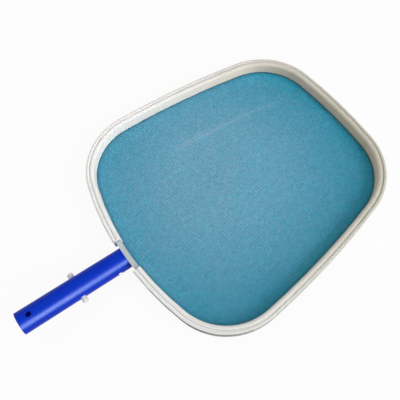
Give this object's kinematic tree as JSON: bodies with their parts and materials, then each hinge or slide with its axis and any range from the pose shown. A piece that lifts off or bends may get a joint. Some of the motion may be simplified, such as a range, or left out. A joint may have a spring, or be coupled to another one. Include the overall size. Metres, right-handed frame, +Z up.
{
  "type": "leaf skimmer net",
  "caption": "Shallow leaf skimmer: a taut net in a rounded hoop with an edge moulding, on a short tubular handle with snap buttons for a pole.",
  "frame": {"origin": "centre of the whole skimmer's footprint, on the surface it stands on, with the far edge's skirt and the tube's lower edge at the hoop touching that surface", "axes": "+X from the handle towards the far edge of the head, +Z up out of the scoop, +Y to the left when looking along +X"},
  "size_m": [0.5202, 0.3522, 0.0578],
  "materials": {
    "moulding": "white, satin gloss",
    "hoop": "mill finish, extruded",
    "net": "fine woven mesh, teal blue",
    "cord": "soft vinyl",
    "tube": "royal blue coating, satin gloss",
    "plug": "moulded",
    "clip": "moulded, smooth",
    "steel": "stainless"
  },
  "bodies": {
    "skimmer": {"edge_moulding": "moulding", "frame_hoop": "hoop", "net": "net", "net_spline": "cord", "handle_tube": "tube", "handle_plug": "plug", "hoop_screw_left": "steel", "hoop_screw_right": "steel", "tube_rivet_left": "steel", "tube_rivet_right": "steel", "spring_clip": "clip"},
    "left_button": {"button_left": "clip"},
    "right_button": {"button_right": "clip"}
  },
  "joints": [
    {"name": "button_left_press", "type": "slide", "parent": "skimmer", "child": "left_button", "axis": [0, -1, 0], "range_m": [0, 0.0068], "stiffness_N_per_m": 1000, "springref_m": -0.003, "deforming": ["spring_clip"]},
    {"name": "button_right_press", "type": "slide", "parent": "skimmer", "child": "right_button", "axis": [0, 1, 0], "range_m": [0, 0.0068], "stiffness_N_per_m": 1000, "springref_m": -0.003, "deforming": ["spring_clip"]}
  ]
}
